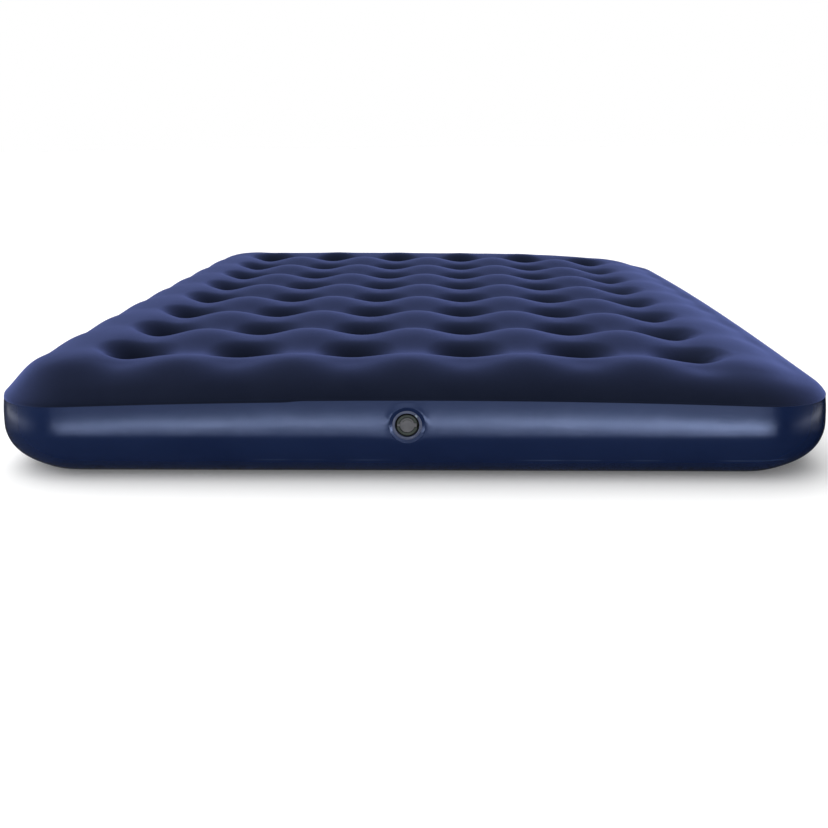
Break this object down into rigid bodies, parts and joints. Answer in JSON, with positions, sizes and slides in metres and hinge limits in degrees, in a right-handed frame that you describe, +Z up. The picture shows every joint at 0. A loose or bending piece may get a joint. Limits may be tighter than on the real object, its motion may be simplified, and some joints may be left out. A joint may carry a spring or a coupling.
{
  "type": "inflatable air mattress",
  "caption": "Inflated air mattress with a flocked top dimpled by inner coil beams, a smooth vinyl border and a screw valve in the foot end.",
  "frame": {"origin": "middle of the base, on the floor", "axes": "+Z up, +Y along the bed from the valve end to the far end, +X to the right seen from the valve end"},
  "size_m": [1.52, 2.03, 0.22],
  "materials": {
    "flocked_top": "navy flock, velvety",
    "side_vinyl": "navy PVC film, semi-gloss",
    "base_vinyl": "navy PVC film, embossed",
    "coil_vinyl": "navy PVC film",
    "valve_flange_vinyl": "soft blue PVC moulding",
    "valve_neck_vinyl": "pale translucent PVC moulding",
    "valve_cap_plastic": "grey-green translucent PVC",
    "valve_plug_plastic": "pale grey translucent PVC",
    "seal_rubber": "soft, matte"
  },
  "bodies": {
    "mattress": {"top_sheet": "flocked_top", "side_wall": "side_vinyl", "bottom_sheet": "base_vinyl", "coil_r1_c1": "coil_vinyl", "coil_r1_c2": "coil_vinyl", "coil_r1_c3": "coil_vinyl", "coil_r1_c4": "coil_vinyl", "coil_r1_c5": "coil_vinyl", "coil_r1_c6": "coil_vinyl", "coil_r2_c1": "coil_vinyl", "coil_r2_c2": "coil_vinyl", "coil_r2_c3": "coil_vinyl", "coil_r2_c4": "coil_vinyl", "coil_r2_c5": "coil_vinyl", "coil_r2_c6": "coil_vinyl", "coil_r3_c1": "coil_vinyl", "coil_r3_c2": "coil_vinyl", "coil_r3_c3": "coil_vinyl", "coil_r3_c4": "coil_vinyl", "coil_r3_c5": "coil_vinyl", "coil_r3_c6": "coil_vinyl", "coil_r4_c1": "coil_vinyl", "coil_r4_c2": "coil_vinyl", "coil_r4_c3": "coil_vinyl", "coil_r4_c4": "coil_vinyl", "coil_r4_c5": "coil_vinyl", "coil_r4_c6": "coil_vinyl", "coil_r5_c1": "coil_vinyl", "coil_r5_c2": "coil_vinyl", "coil_r5_c3": "coil_vinyl", "coil_r5_c4": "coil_vinyl", "coil_r5_c5": "coil_vinyl", "coil_r5_c6": "coil_vinyl", "coil_r6_c1": "coil_vinyl", "coil_r6_c2": "coil_vinyl", "coil_r6_c3": "coil_vinyl", "coil_r6_c4": "coil_vinyl", "coil_r6_c5": "coil_vinyl", "coil_r6_c6": "coil_vinyl", "coil_r7_c1": "coil_vinyl", "coil_r7_c2": "coil_vinyl", "coil_r7_c3": "coil_vinyl", "coil_r7_c4": "coil_vinyl", "coil_r7_c5": "coil_vinyl", "coil_r7_c6": "coil_vinyl", "coil_r8_c1": "coil_vinyl", "coil_r8_c2": "coil_vinyl", "coil_r8_c3": "coil_vinyl", "coil_r8_c4": "coil_vinyl", "coil_r8_c5": "coil_vinyl", "coil_r8_c6": "coil_vinyl", "valve_flange": "valve_flange_vinyl", "valve_neck": "valve_neck_vinyl"},
    "tether": {"cap_tether": "valve_neck_vinyl"},
    "cap": {"valve_cap": "valve_cap_plastic", "cap_gasket": "seal_rubber", "flap_seat": "valve_cap_plastic"},
    "plug": {"cap_plug": "valve_plug_plastic"},
    "flap": {"check_flap": "seal_rubber"}
  },
  "joints": [
    {"name": "cap_lift", "type": "slide", "parent": "mattress", "child": "tether", "axis": [0, -1, 0], "range_m": [0, 0.0045]},
    {"name": "cap_turn", "type": "hinge", "parent": "tether", "child": "cap", "pos_m": [0, -1.015, 0.106], "axis": [0, -1, 0], "range_deg": [0, 540]},
    {"name": "plug_flip", "type": "hinge", "parent": "cap", "child": "plug", "pos_m": [0.0158, -1.0127, 0.106], "axis": [0, 0, 1], "range_deg": [0, 115]},
    {"name": "flap_swing", "type": "hinge", "parent": "cap", "child": "flap", "pos_m": [0, -0.99495, 0.1175], "axis": [1, 0, 0], "range_deg": [0, 50], "stiffness_Nm_per_rad": 0.0005, "springref_deg": -11.46}
  ],
  "couplings": [
    {"joint": "cap_turn", "follows": "cap_lift", "rad_per_m": 2094.4}
  ]
}
